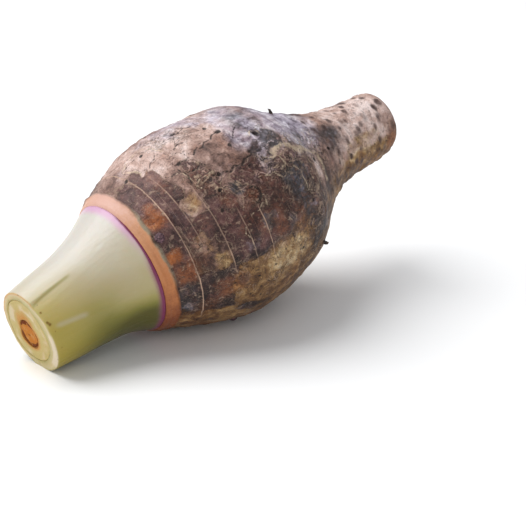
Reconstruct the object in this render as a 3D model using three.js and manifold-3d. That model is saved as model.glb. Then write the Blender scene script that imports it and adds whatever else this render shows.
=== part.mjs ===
// A whole taro: a ringed, swollen corm that narrows to a stub at one end, with the cut-off bases of its leaf
// stalks, wrapped one inside the other, on its crown at the other end.
//
// Millimetres, +Z up. The taro lies on the plane z = 0, on a small flat on its belly and on the lower edge of
// the leaf cut. It is modelled about its own growing axis, +Y from the leaf cut to the stub, with +Z on its
// upper side, and the group that holds it tips that axis into the resting pose.
import * as THREE from "three";
import { mergeVertices } from "three/addons/utils/BufferGeometryUtils.js";
import Module from "manifold-3d";

const wasm = await Module();
wasm.setup();

// ---- driving dimensions ----------------------------------------------------------------------------------

const PITCH = THREE.MathUtils.degToRad(14.5); // the axis rises by this much from the leaf cut to the stub
const GAP = 0.3; // clearance between pieces that touch
const SIDES = 44; // facets round the corm
const BELLY_FLAT = 1.0; // depth that the resting flat takes off the belly

// Outline: [distance from the leaf cut, half-height above the axis, half-height below it, half-width].
const OUTLINE = [
  [0, 21, 24, 22.5],
  [16, 24, 25.5, 24.5],
  [32, 27, 26.5, 26.5],
  [48, 32.5, 28.5, 30.5],
  [60, 38.5, 33.5, 36.5],
  [80, 47.5, 43, 46.5],
  [96, 53, 49, 54],
  [112, 56, 53.5, 57.5],
  [128, 55.5, 55, 56.5],
  [145, 54, 53.5, 53.5],
  [161, 49.8, 48, 49],
  [174, 40, 38, 39],
  [188, 31, 28, 30],
  [202, 24.2, 22.5, 24.2],
  [216, 20, 21, 21.5],
  [236, 17.4, 22, 19.6],
  [254, 16, 21.5, 16.6],
];

const CROWN = 60; // the corm starts here, where the outermost leaf base ends
const CROWN_DOME = 8; // rise of the growing point under the leaf bases
const COLLAR = { lip: 0.7, end: 66, skin: 0.6 }; // fresh scar of a stripped leaf, then the brown skin's edge
const STUB_END = 252;
const STUB_ROUNDING = 3;
const STUB_DOME = 1.2;

// Leaf scars: narrow ridges round the corm, [distance along the axis, height].
const RING_SCARS = [
  [76.5, 0.9],
  [84, 0.6],
  [94.5, 0.8],
  [106.5, 0.7],
  [117, 0.7],
  [131, 0.8],
  [143, 0.6],
  [155, 0.7],
  [167, 0.7],
  [178, 0.8],
  [189, 0.7],
  [203, 0.5],
];
const RIDGE_HALF_WIDTH = 1.2;
const CORM_STEP = 8; // spacing of the sections between the ridges

// Leaf bases, from the outside in: bore radius at the leaf cut and at the crown, and how far each bore is off
// the axis, [side, up], at the cut.
const SHEATHS = {
  outer: { boreAtCut: 17.8, boreAtCrown: 27.5, offset: [-2.4, -0.4] },
  inner: { boreAtCut: 8, boreAtCrown: 12.5, offset: [-3.5, -2.8] },
};
const SHEATH_STEPS = 6;
const SHEATH_FACETS = { outer: 44, inner: 32, heart: 20 };
const OVERLAP = { angle: 24.5, depth: 1.4, spread: 26, fade: 48 }; // the outer leaf's free edge: degrees, mm

// Buds: [distance, degrees round from the upper side, radius], and stubs of roots: the same, then length.
const BUDS = [
  [66.5, 51, 2.6],
  [69, -118, 3.0],
  [101, 148, 2.6],
];
const ROOT_STUBS = [
  [176.5, 2, 1.5, 2.4],
  [158, 118, 1.0, 2.6],
  [119, -128, 1.0, 3.0],
];

// Root scars: low warts in staggered rings round the stub and the shoulder above it.
const WARTS = { from: 186, to: 250, spacing: 8.6, apart: 16, radius: 2.4, height: 0.7, sides: 5, seed: 7 };

const FINISH = {
  skin: { color: 0x6f5343, roughness: 0.78 },
  leaf: { color: 0xb9bd7e, roughness: 0.42 },
  inner: { color: 0xd9cd9c, roughness: 0.5 },
  heart: { color: 0xc08448, roughness: 0.55 },
};

// ---- form ------------------------------------------------------------------------------------------------

const stations = OUTLINE.map(([along]) => along);
const reaches = OUTLINE.flatMap(([, ...reach]) => reach);
const outline = new THREE.CubicInterpolant(stations, reaches, 3);

/** The outline at a distance along the axis: half-width, half-height and the middle's height over the axis. */
function section(along) {
  const [up, down, side] = outline.evaluate(along);
  return { side, tall: (up + down) / 2, lift: (up - down) / 2 };
}

const radius = (along) => section(along).side;

/** Shallow, wandering lumps, as a share of the radius. They vanish at the leaf cut. */
function lump(along, angle) {
  const ease = THREE.MathUtils.smoothstep(along, 5, 70);
  const wave = Math.sin(2 * angle + along / 23) + 0.7 * Math.sin(3 * angle - along / 17 + 1);
  return 0.011 * ease * wave;
}

/** How far a ring of the corm wanders along the axis as it goes round. */
function wander(along, angle) {
  const ease = THREE.MathUtils.smoothstep(along, 20, 90) * (1 - THREE.MathUtils.smoothstep(along, 215, 250));
  return ease * (1.2 * Math.sin(angle + along / 31) + 0.6 * Math.sin(2 * angle - along / 19));
}

/** Where a point of a straight solid of revolution about +Y lies in the taro's own form. */
function place(out, along, angle) {
  const { side, tall, lift } = section(along);
  const swollen = out * (1 + lump(along, angle));
  return new THREE.Vector3(
    swollen * Math.sin(angle),
    along + (out / side) * wander(along, angle),
    swollen * Math.cos(angle) * (tall / side) + lift,
  );
}

/** Turns a straight solid of revolution about +Y into the taro's own form. */
function grow(geometry) {
  const position = geometry.attributes.position;
  for (let i = 0; i < position.count; i += 1) {
    const out = Math.hypot(position.getX(i), position.getZ(i));
    const angle = Math.atan2(position.getX(i), position.getZ(i));
    position.setXYZ(i, ...place(out, position.getY(i), angle));
  }
  return geometry;
}

/** Revolves [radius, along] points about the axis. */
function revolve(points, facets) {
  return new THREE.LatheGeometry(
    points.map(([out, along]) => new THREE.Vector2(out, along)),
    facets,
  );
}

/** A closed geometry as a solid for joins and cuts. */
function solidOf(geometry) {
  const bare = geometry.clone().deleteAttribute("normal").deleteAttribute("uv");
  const merged = mergeVertices(bare, 1e-4);
  return new wasm.Manifold(
    new wasm.Mesh({
      numProp: 3,
      vertProperties: new Float32Array(merged.attributes.position.array),
      triVerts: new Uint32Array(merged.index.array),
    }),
  );
}

/** A solid back as a geometry. */
function geometryOf(solid) {
  const mesh = solid.getMesh();
  const geometry = new THREE.BufferGeometry();
  geometry.setAttribute("position", new THREE.BufferAttribute(new Float32Array(mesh.vertProperties), 3));
  geometry.setIndex(new THREE.BufferAttribute(new Uint32Array(mesh.triVerts), 1));
  geometry.computeVertexNormals();
  return geometry;
}

/** Evenly spaced numbers from first to last. */
function spaced(first, last, steps) {
  return Array.from({ length: steps + 1 }, (_, i) => THREE.MathUtils.lerp(first, last, i / steps));
}

// ---- corm ------------------------------------------------------------------------------------------------

/** Height of the corm's growing point over its crown, at a radius. */
function domeAt(out) {
  return CROWN - CROWN_DOME * (1 - Math.min(out / radius(CROWN), 1) ** 2);
}

/** The corm's skin from its collar to its stub, [radius, along], with a ridge at each leaf scar. */
function skinPoints() {
  const last = STUB_END - STUB_ROUNDING;
  const plain = spaced(COLLAR.end + 1.5, last, Math.round((last - COLLAR.end) / CORM_STEP))
    .filter((along) => RING_SCARS.every(([at]) => Math.abs(at - along) > 2 * RIDGE_HALF_WIDTH))
    .map((along) => [radius(along), along]);
  const ridges = RING_SCARS.flatMap(([at, height]) => [
    [radius(at - RIDGE_HALF_WIDTH), at - RIDGE_HALF_WIDTH],
    [radius(at) + height, at],
    [radius(at + RIDGE_HALF_WIDTH), at + RIDGE_HALF_WIDTH],
  ]);
  return [...plain, ...ridges].sort((a, b) => a[1] - b[1]);
}

function cormProfile() {
  const crown = radius(CROWN);
  const dome = spaced(0, crown - 1, 5).map((out) => [out, domeAt(out)]);
  const collar = [
    [crown + COLLAR.lip * 0.6, CROWN + 0.1],
    [crown + COLLAR.lip + 0.8, CROWN + 1.4],
    [radius(COLLAR.end) + COLLAR.lip * 0.5, COLLAR.end - 0.6],
    [radius(COLLAR.end) + COLLAR.skin + 0.5, COLLAR.end],
  ];
  const stub = radius(STUB_END);
  const end = [
    [stub - 0.3 * STUB_ROUNDING, STUB_END - 0.3 * STUB_ROUNDING],
    [stub - STUB_ROUNDING, STUB_END],
    [stub / 2, STUB_END + STUB_DOME * 0.75],
    [0, STUB_END + STUB_DOME],
  ];
  return [...dome, ...collar, ...skinPoints(), ...end];
}

/** Puts a small solid that points along +Y on the corm's skin, pointing straight out. */
function onSkin(geometry, along, angle, sink) {
  const slope = (radius(along + 1) - radius(along - 1)) / 2;
  const foot = place(radius(along) - sink, along, angle);
  return geometry
    .rotateX(Math.PI / 2 + Math.atan(slope))
    .rotateY(angle)
    .translate(...foot);
}

function bud([along, degrees, size]) {
  const shape = new THREE.SphereGeometry(size, 12, 8).scale(1, 0.9, 1);
  return onSkin(shape, along, THREE.MathUtils.degToRad(degrees), size * 0.35);
}

function rootStub([along, degrees, size, length]) {
  const shape = new THREE.CylinderGeometry(size * 0.7, size * 1.3, length + 2, 8).translate(0, length / 2, 0);
  return onSkin(shape, along, THREE.MathUtils.degToRad(degrees), 1.2);
}

/** Random numbers from 0 to 1 that come out the same each time. */
function seeded(seed) {
  let state = seed;
  return () => {
    state = (state * 16807) % 2147483647;
    return state / 2147483647;
  };
}

function makeWarts() {
  const random = seeded(WARTS.seed);
  const warts = [];
  for (let row = 0; WARTS.from + row * WARTS.spacing < WARTS.to; row += 1) {
    const along = WARTS.from + row * WARTS.spacing;
    const count = Math.round((2 * Math.PI * radius(along)) / WARTS.apart);
    for (let i = 0; i < count; i += 1) {
      const angle = ((i + (row % 2) / 2 + 0.4 * random()) / count) * 2 * Math.PI;
      const size = WARTS.radius * (0.7 + 0.5 * random());
      const shape = new THREE.CylinderGeometry(size * 0.6, size, 2 * WARTS.height, WARTS.sides);
      warts.push(onSkin(shape.scale(1.2, 1, 0.8), along + 2.5 * (random() - 0.5), angle, 0));
    }
  }
  return warts;
}

function makeCorm() {
  const growths = [...BUDS.map(bud), ...ROOT_STUBS.map(rootStub), ...makeWarts()];
  let solid = solidOf(grow(revolve(cormProfile(), SIDES)));
  for (const growth of growths) solid = solid.add(solidOf(growth));
  return solid;
}

// ---- leaf bases ------------------------------------------------------------------------------------------

/** Radius of a sheath's bore at a distance from the leaf cut. */
function bore(sheath, along) {
  return THREE.MathUtils.lerp(sheath.boreAtCut, sheath.boreAtCrown, (along / CROWN) ** 1.6);
}

/** Steps the skin down beside the outer leaf's free edge, most at the leaf cut. */
function foldOver(geometry) {
  const position = geometry.attributes.position;
  for (let i = 0; i < position.count; i += 1) {
    const along = position.getY(i);
    const out = Math.hypot(position.getX(i), position.getZ(i));
    const beside = THREE.MathUtils.radToDeg(Math.atan2(position.getX(i), position.getZ(i))) - OVERLAP.angle;
    if (out < radius(along) - 1 || beside < 1) continue;
    const fade = 1 - THREE.MathUtils.smoothstep(along, 0, OVERLAP.fade);
    const share = 1 - (OVERLAP.depth * fade * Math.exp(-beside / OVERLAP.spread)) / out;
    position.setX(i, position.getX(i) * share);
    position.setZ(i, position.getZ(i) * share);
  }
  return geometry;
}

/** Slides a bore sideways from the axis, most at the leaf cut. */
function slide(geometry, [side, up]) {
  const position = geometry.attributes.position;
  for (let i = 0; i < position.count; i += 1) {
    const share = 1 - Math.min(position.getY(i) / CROWN, 1);
    position.setX(i, position.getX(i) + side * share);
    position.setZ(i, position.getZ(i) + up * share);
  }
  return geometry;
}

/** A plug with the form of a sheath's bore, from the first distance to the last. */
function boreSolid(sheath, facets, shrink, [first, last]) {
  const walls = spaced(first, last, SHEATH_STEPS + 2).map((along) => [
    bore(sheath, Math.max(along, 0)) - shrink,
    along,
  ]);
  return solidOf(grow(slide(revolve([[0, first], ...walls, [0, last]], facets), sheath.offset)));
}

/** The corm's crown, with clearance, as the shape that cuts the feet of the leaf bases. */
function overCrown() {
  const reach = radius(CROWN) + 8;
  const dome = spaced(0, reach, 12).map((out) => [out, domeAt(out) - GAP]);
  return solidOf(grow(revolve([...dome, [reach, CROWN + 20], [0, CROWN + 20]], SHEATH_FACETS.outer)));
}

function outerLeafBase(crown) {
  const skin = spaced(0, CROWN + 1, SHEATH_STEPS + 3).map((along) => [radius(along), along]);
  const rim = [radius(0) - 0.8, 0];
  skin[0] = [radius(0.8), 0.8];
  const whole = revolve([[0, 0], rim, ...skin, [0, CROWN + 1]], SHEATH_FACETS.outer);
  const hole = boreSolid(SHEATHS.outer, SHEATH_FACETS.inner, 0, [-5, CROWN + 5]);
  return solidOf(grow(foldOver(whole))).subtract(hole).subtract(crown);
}

function innerLeafBase(crown) {
  const plug = boreSolid(SHEATHS.outer, SHEATH_FACETS.inner, GAP, [0.2, CROWN + 1]);
  const hole = boreSolid(SHEATHS.inner, SHEATH_FACETS.heart, 0, [-5, CROWN + 5]);
  return plug.subtract(hole).subtract(crown);
}

function heartLeafBase(crown) {
  return boreSolid(SHEATHS.inner, SHEATH_FACETS.heart, GAP, [0.6, CROWN + 1]).subtract(crown);
}

// ---- assembly --------------------------------------------------------------------------------------------

const taro = new THREE.Group();
const plant = new THREE.Group();
taro.add(plant);
plant.rotation.set(0, -PITCH, -Math.PI / 2); // the growing axis to +X, then tipped up
plant.updateMatrixWorld(true);

const crown = overCrown();
const corm = makeCorm();
const pieces = {
  corm: [corm, FINISH.skin],
  outer_leaf_base: [outerLeafBase(crown), FINISH.leaf],
  inner_leaf_base: [innerLeafBase(crown), FINISH.inner],
  heart_leaf_base: [heartLeafBase(crown), FINISH.heart],
};

// The floor, in the plant's own frame: it trims the belly, and the lower edge of the leaf cut, to small flats.
const settled = geometryOf(corm).applyMatrix4(plant.matrixWorld);
settled.computeBoundingBox();
const floorHeight = settled.boundingBox.min.z + BELLY_FLAT;
const floorBox = new THREE.BoxGeometry(600, 600, 60).translate(0, 0, floorHeight - 30);
const floor = solidOf(floorBox.applyMatrix4(plant.matrixWorld.clone().invert()));

for (const [name, [solid, finish]] of Object.entries(pieces)) {
  const material = new THREE.MeshStandardMaterial({ metalness: 0, ...finish });
  const mesh = new THREE.Mesh(geometryOf(solid.subtract(floor)), material);
  mesh.name = name;
  plant.add(mesh);
}

// The origin is on the floor, under the middle of the whole taro.
const middle = new THREE.Box3().setFromObject(plant, true).getCenter(new THREE.Vector3());
plant.position.set(-middle.x, -middle.y, -floorHeight);

export default taro;
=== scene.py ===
"""A whole taro on a pale floor: ringed skin, leaf scars, roots and cut leaf bases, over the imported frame."""

import logging
import math
from collections.abc import Sequence
from dataclasses import dataclass, replace
from enum import Enum, IntEnum

import bpy
import numpy as np
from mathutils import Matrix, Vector

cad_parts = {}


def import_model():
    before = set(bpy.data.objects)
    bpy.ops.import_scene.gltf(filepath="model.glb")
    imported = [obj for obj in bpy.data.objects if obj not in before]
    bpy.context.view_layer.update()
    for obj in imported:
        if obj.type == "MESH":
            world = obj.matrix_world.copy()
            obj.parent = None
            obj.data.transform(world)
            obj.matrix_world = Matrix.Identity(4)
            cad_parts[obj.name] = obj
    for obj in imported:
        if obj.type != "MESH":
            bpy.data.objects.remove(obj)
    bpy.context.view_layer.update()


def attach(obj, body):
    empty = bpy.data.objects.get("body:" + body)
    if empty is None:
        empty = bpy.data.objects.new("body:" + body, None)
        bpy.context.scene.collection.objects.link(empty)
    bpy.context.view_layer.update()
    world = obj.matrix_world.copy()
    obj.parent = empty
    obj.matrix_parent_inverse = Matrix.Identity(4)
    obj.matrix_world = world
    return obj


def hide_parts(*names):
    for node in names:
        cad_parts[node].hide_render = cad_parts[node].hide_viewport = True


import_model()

logging.basicConfig(level=logging.INFO, format="%(message)s")
log = logging.getLogger("taro")

MM = 0.001
Colour = tuple[float, float, float, float]
Run = tuple[tuple[float, str], ...]  # a run of colours: places from 0 to 1, and sRGB hex codes
Outline = list[tuple[float, float]]  # (radius, distance along the axis) points
Piece = bpy.types.Object
Field = np.ndarray

CROWN = 60.0  # distance from the leaf cut to the corm, in mm like all distances along the axis
GAP = 0.3  # clearance between pieces that touch
SEAM = 0.12  # clearance between leaf bases
WELD = 2e-3  # vertices of a turned piece that are nearer than this are joined


# ---- helpers -----------------------------------------------------------------


def paint(code: str) -> Colour:
    """Reads a colour.

    Args:
        code: its sRGB hex code.

    Returns:
        The shader's linear values.
    """
    channels = [int(code[i : i + 2], 16) / 255 for i in (0, 2, 4)]
    linear = [c / 12.92 if c <= 0.04045 else ((c + 0.055) / 1.055) ** 2.4 for c in channels]
    return (linear[0], linear[1], linear[2], 1.0)


def smooth(low: float, high: float, value: Field) -> Field:
    """Smoothstep from 0 at low to 1 at high, which may be the other way round."""
    share = np.clip((value - low) / (high - low), 0, 1)
    return share * share * (3 - 2 * share)


def window(value: Field, first: float, last: float, soft: float) -> Field:
    """1 between first and last, fading to 0 over soft on either side."""
    return smooth(first - soft, first, value) * (1 - smooth(last, last + soft, value))


def hump(value: Field, reach: Field | float) -> Field:
    """1 where the value is 0, falling away over reach on either side."""
    return np.exp(-((value / reach) ** 2))


def turn_from(degrees: Field, centre: float) -> Field:
    """Signed degrees from a centre, the short way round."""
    return (degrees - centre + 180) % 360 - 180


class Seed(IntEnum):
    """Where each random pattern starts."""

    WIDE = 11
    TALL = 12
    EVEN = 13
    GROUND = 20  # and the next ones, one for each layer of the skin
    RINGS = 31
    ROOT_SCARS = 41
    CUT = 51
    FIBRES = 52
    EDGE = 60  # and the next ones, one for each layer of the skin
    RIM = 71
    WALL = 74
    HEART = 75
    HALO = 76
    BURNT = 77
    RINGED = 78


class Noise:
    """Smooth random values in space, from 0 to 1 and the same each run."""

    SIZE = 48  # cells each way before the pattern repeats
    SHIFT = 7.3  # moves each octave off the one before it

    def __init__(self, seed: int) -> None:
        """Fills the lattice from a seed."""
        self.lattice = np.random.default_rng(int(seed)).random((self.SIZE,) * 3)

    def at(self, points: Field) -> Field:
        """One octave, with a feature about every unit of distance.

        Args:
            points: n x 3 places.

        Returns:
            A value for each place.
        """
        cell = np.floor(points).astype(int)
        part = points - cell
        part = part * part * (3 - 2 * part)
        total = np.zeros(len(points))
        for corner in np.ndindex(2, 2, 2):
            index = (cell + corner) % self.SIZE
            weight = np.prod(np.where(corner, part, 1 - part), axis=1)
            total += weight * self.lattice[index[:, 0], index[:, 1], index[:, 2]]
        return total

    def layered(self, points: Field, size: float | Sequence[float], octaves: int = 3) -> Field:
        """Several octaves.

        Args:
            points: n x 3 places.
            size: size of the largest features, or one size for each axis.
            octaves: how many, each half as large and half as strong.

        Returns:
            A value for each place, around 0.5.
        """
        scaled = points / np.asarray(size, float)
        total, weight = np.zeros(len(points)), 0.0
        for octave in range(octaves):
            share = 0.5**octave
            total += share * self.at(scaled * 2**octave + self.SHIFT * octave)
            weight += share
        return total / weight

    def swell(self, points: Field, size: float | Sequence[float], octaves: int = 3) -> Field:
        """The same as layered, but around 0."""
        return self.layered(points, size, octaves) - 0.5


# ---- the taro's form ---------------------------------------------------------


@dataclass(frozen=True)
class Form:
    """The taro's form about its growing axis: straight solids are turned about +Y, then grown into it."""

    # [distance from the leaf cut, half-height above the axis, half-height below it, half-width]
    outline: tuple[tuple[float, float, float, float], ...] = (
        (0, 21, 24, 22.5),
        (16, 24, 25.5, 24.5),
        (32, 27, 26.5, 26.5),
        (48, 32.5, 28.5, 30.5),
        (60, 38.5, 33.5, 36.5),
        (80, 47.5, 43, 46.5),
        (96, 53, 49, 54),
        (112, 56, 53.5, 57.5),
        (128, 55.5, 55, 56.5),
        (145, 54, 53.5, 53.5),
        (161, 49.8, 48, 49),
        (174, 40, 38, 39),
        (188, 31, 28, 30),
        (202, 24.2, 22.5, 24.2),
        (216, 20, 21, 21.5),
        (236, 17.4, 22, 19.6),
        (254, 16, 21.5, 16.6),
    )
    pitch: float = math.radians(14.5)
    cut_centre: tuple[float, float, float] = (-121.732, -0.413, 22.439)
    dome: float = 8.0  # rise of the growing point under the leaf bases
    lumpiness: float = 0.011  # share of the radius by which the body's lumps rise
    sway: tuple[float, float] = (1.2, 0.6)  # how far rings stray along the axis, once and twice a turn
    slant: float = 0.85  # how far they lean along the axis

    def section(self, along: Field) -> tuple[Field, Field, Field]:
        """The outline at distances along the axis.

        Args:
            along: distances, in mm.

        Returns:
            Half-width, half-height and the middle's height over the axis.
        """
        table = np.array(self.outline)
        stations = table[:, 0]
        at = np.clip(along, stations[0], stations[-1])
        left = np.clip(np.searchsorted(stations, at, side="right") - 1, 0, len(stations) - 2)
        step = stations[left + 1] - stations[left]
        t = (at - stations[left]) / step
        reach = []
        for values in table[:, 1:].T:
            slope = np.gradient(values, stations)
            reach.append(
                (2 * t**3 - 3 * t**2 + 1) * values[left]
                + (t**3 - 2 * t**2 + t) * step * slope[left]
                + (3 * t**2 - 2 * t**3) * values[left + 1]
                + (t**3 - t**2) * step * slope[left + 1]
            )
        up, down, side = reach
        return side, (up + down) / 2, (up - down) / 2

    def radius(self, along: Field | float) -> Field:
        """Half-width at distances along the axis."""
        return self.section(np.asarray(along, float))[0]

    def radius_at(self, along: float) -> float:
        """Half-width at one distance along the axis."""
        return float(self.radius(along))

    def degree_at(self, along: float) -> float:
        """Length of one degree round the skin at one distance along the axis, in mm."""
        return self.radius_at(along) * math.pi / 180

    def dome_at(self, out: Field) -> Field:
        """Height of the corm's growing point at a radius, as a distance from the leaf cut."""
        share = np.minimum(out / self.radius(CROWN), 1)
        return CROWN - self.dome * (1 - share**2)

    def place(self, out: Field, along: Field, angle: Field) -> Field:
        """Where points of a straight solid of revolution about +Y lie in the scene.

        Args:
            out: distances from the axis, in mm.
            along: distances from the leaf cut, in mm.
            angle: angles round from the upper side, in radians.

        Returns:
            n x 3 places, in metres.
        """
        side_reach, tall, lift = self.section(along)
        lumps = np.sin(2 * angle + along / 23) + 0.7 * np.sin(3 * angle - along / 17 + 1)
        swollen = out * (1 + self.lumpiness * smooth(5, 70, along) * lumps)
        ease = smooth(20, 90, along) * (1 - smooth(215, 250, along))
        drift = self.sway[0] * np.sin(angle + along / 31) + self.sway[1] * np.sin(2 * angle - along / 19)
        tilt = self.slant * smooth(64, 74, along) * np.sin(angle - 0.6)
        side = swollen * np.sin(angle)
        forward = along + out / side_reach * (drift + tilt) * ease
        up = swollen * np.cos(angle) * tall / side_reach + lift
        cos, sin = math.cos(self.pitch), math.sin(self.pitch)
        x0, y0, z0 = self.cut_centre
        world = np.stack([x0 + forward * cos - up * sin, y0 - side, z0 + forward * sin + up * cos], axis=1)
        world[:, 2] = np.maximum(world[:, 2], 0)
        return world * MM


FORM = Form()


# ---- modelling ---------------------------------------------------------------


def turned(name: str, profile: Outline, sides: int) -> Piece:
    """Turns a profile about +Y in edit mode, as on a lathe.

    Args:
        name: name of the piece.
        profile: (radius, along) points, which start and end on the axis or where they began.
        sides: faces round the piece.

    Returns:
        The piece, closed and with its normals outwards.
    """
    bpy.ops.object.select_all(action="DESELECT")
    bpy.ops.mesh.primitive_plane_add(size=1, location=(0, 0, 0))
    piece = bpy.context.object
    piece.name = name
    piece.data.name = name
    bpy.ops.object.mode_set(mode="EDIT")
    bpy.ops.mesh.merge(type="CENTER")
    bpy.ops.transform.translate(value=(profile[0][0], profile[0][1], 0))
    for start, end in zip(profile, profile[1:]):
        step = (end[0] - start[0], end[1] - start[1], 0)
        bpy.ops.mesh.extrude_region_move(TRANSFORM_OT_translate={"value": step})
    bpy.ops.mesh.select_all(action="SELECT")
    bpy.ops.mesh.spin(steps=sides, angle=2 * math.pi, center=(0, 0, 0), axis=(0, 1, 0), use_auto_merge=True)
    bpy.ops.mesh.select_all(action="SELECT")
    bpy.ops.mesh.remove_doubles(threshold=WELD)
    bpy.ops.mesh.normals_make_consistent(inside=False)
    bpy.ops.object.mode_set(mode="OBJECT")
    bpy.ops.object.shade_smooth()
    return piece


def read_points(piece: Piece) -> Field:
    """The vertices of a piece, n x 3."""
    flat = np.empty(len(piece.data.vertices) * 3)
    piece.data.vertices.foreach_get("co", flat)
    return flat.reshape(-1, 3)


def write_points(piece: Piece, points: Field) -> None:
    """Moves the vertices of a piece and turns its normals outwards again.

    Args:
        piece: the piece.
        points: where its vertices go, n x 3.
    """
    piece.data.vertices.foreach_set("co", points.ravel())
    piece.data.update()
    bpy.ops.object.select_all(action="DESELECT")
    piece.select_set(True)
    bpy.context.view_layer.objects.active = piece
    bpy.ops.object.mode_set(mode="EDIT")
    bpy.ops.mesh.select_all(action="SELECT")
    bpy.ops.mesh.normals_make_consistent(inside=False)
    bpy.ops.object.mode_set(mode="OBJECT")


@dataclass(frozen=True)
class Spots:
    """The vertices of a straight piece, and where they are about its axis."""

    points: Field
    out: Field
    along: Field
    angle: Field
    degrees: Field

    @classmethod
    def on(cls, piece: Piece) -> "Spots":
        """Reads the vertices of a piece that has not been grown into the taro's form.

        Args:
            piece: the piece.

        Returns:
            Its spots.
        """
        points = read_points(piece)
        x, along, z = points.T
        angle = np.arctan2(x, z)
        return cls(points, np.hypot(x, z), along, angle, np.degrees(angle))


def record(piece: Piece, name: str, *values: Field) -> None:
    """Stores values for each vertex as a vector attribute that a shader can read.

    Args:
        piece: the piece.
        name: name of the attribute.
        values: up to three values for each vertex, with 0 for those left out.
    """
    count = len(piece.data.vertices)
    columns = [*values, *[np.zeros(count)] * (3 - len(values))]
    attribute = piece.data.attributes.new(name, "FLOAT_VECTOR", "POINT")
    attribute.data.foreach_set("vector", np.stack(columns, axis=1).astype(np.float32).ravel())


def settle(piece: Piece, node: str | None, material: bpy.types.Material) -> None:
    """Gives a piece its material and its place in the frame.

    Args:
        piece: the finished piece.
        node: the CAD node that it stands for, if it stands for one.
        material: its look.
    """
    piece.data.materials.clear()
    piece.data.materials.append(material)
    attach(piece, "root")
    if node is not None:
        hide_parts(node)
    log.info("%s: %d faces", piece.name, len(piece.data.polygons))


# ---- shading -----------------------------------------------------------------


class Wire:
    """A shader value that ordinary arithmetic works on."""

    CREST = 0.25  # share of a bell's reach over which it is flat

    def __init__(self, graph: "Graph", socket: bpy.types.NodeSocket) -> None:
        """Wraps one output socket of a graph."""
        self.graph = graph
        self.socket = socket

    def __add__(self, other: "Wire | float") -> "Wire":
        """This value plus another."""
        return self.graph.maths("ADD", self, other)

    def __sub__(self, other: "Wire | float") -> "Wire":
        """This value minus another."""
        return self.graph.maths("SUBTRACT", self, other)

    def __mul__(self, other: "Wire | float") -> "Wire":
        """This value times another."""
        return self.graph.maths("MULTIPLY", self, other)

    def __rsub__(self, other: float) -> "Wire":
        """A number minus this value."""
        return self.graph.maths("SUBTRACT", other, self)

    def __abs__(self) -> "Wire":
        """This value without its sign."""
        return self.graph.maths("ABSOLUTE", self, 0.0)

    __radd__ = __add__

    def bell(self, reach: float) -> "Wire":
        """1 where this value is 0, falling to 0 at reach on either side."""
        return abs(self).smooth(reach, reach * self.CREST)

    def smooth(self, low: float, high: float) -> "Wire":
        """Smoothstep.

        Args:
            low: where it is 0.
            high: where it is 1, which may be below low.

        Returns:
            The share.
        """
        flip = low > high
        ends = (high, low) if flip else (low, high)
        inputs = {0: self, 1: ends[0], 2: ends[1], 3: float(flip), 4: float(not flip)}
        return self.graph.node("ShaderNodeMapRange", {"interpolation_type": "SMOOTHSTEP"}, inputs)

    def coated(self, share: "Wire | float", coat: "Wire | str") -> "Wire":
        """This colour with another, or an sRGB hex code, laid over it: none of it at 0 and all at 1."""
        return self.graph.mix(share, self, coat if isinstance(coat, Wire) else paint(coat))


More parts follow.
